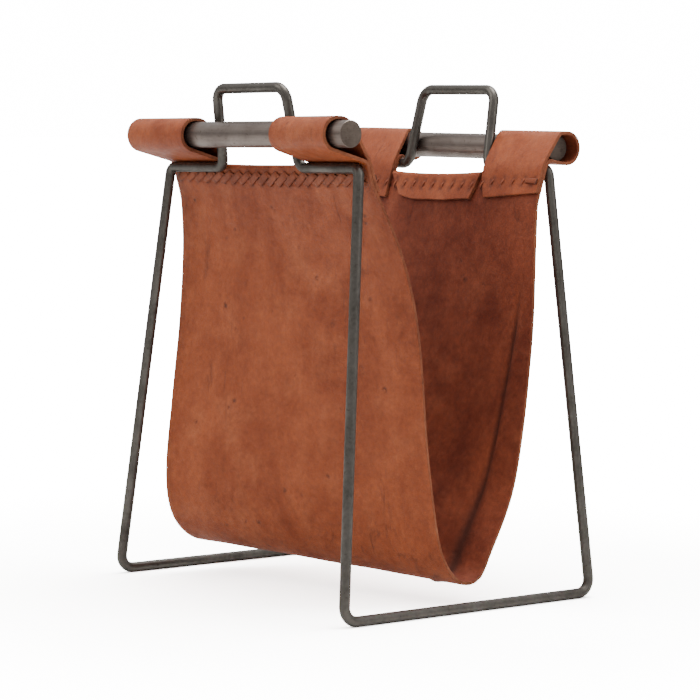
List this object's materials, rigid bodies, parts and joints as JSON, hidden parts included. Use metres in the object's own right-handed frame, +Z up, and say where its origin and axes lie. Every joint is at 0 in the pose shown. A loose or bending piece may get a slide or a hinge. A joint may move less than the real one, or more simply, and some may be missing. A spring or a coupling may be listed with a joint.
{
  "type": "magazine rack",
  "caption": "Magazine rack with a bent round-rod frame and a hanging leather sling whose tabs loop round steel carrying bars and are laced shut.",
  "frame": {"origin": "on the floor, in the middle of the footprint", "axes": "+Z up, X along the carrying bars, Y across the sling, the near side towards -Y"},
  "size_m": [0.3006, 0.2545, 0.395],
  "materials": {
    "iron_rod": "dark bare iron, waxed",
    "weld_bead": "weld dressed by file",
    "steel_bar": "drawn grey steel",
    "sling_leather": "vegetable-tanned saddle leather, mottled",
    "lace_leather": "oiled leather thong"
  },
  "bodies": {
    "frame": {"near_side_rod": "iron_rod", "far_side_rod": "iron_rod", "left_rail_weld": "weld_bead", "right_rail_weld": "weld_bead", "leather_sling": "sling_leather", "near_lace": "lace_leather", "far_lace": "lace_leather"},
    "near_bar": {"near_bar": "steel_bar"},
    "far_bar": {"far_bar": "steel_bar"}
  },
  "joints": [
    {"name": "near_bar_slide", "type": "slide", "parent": "frame", "child": "near_bar", "axis": [0.9998, 0, 0.018], "range_m": [-0.25, 0.215]},
    {"name": "far_bar_slide", "type": "slide", "parent": "frame", "child": "far_bar", "axis": [1, 0, 0], "range_m": [-0.225, 0.24]}
  ]
}
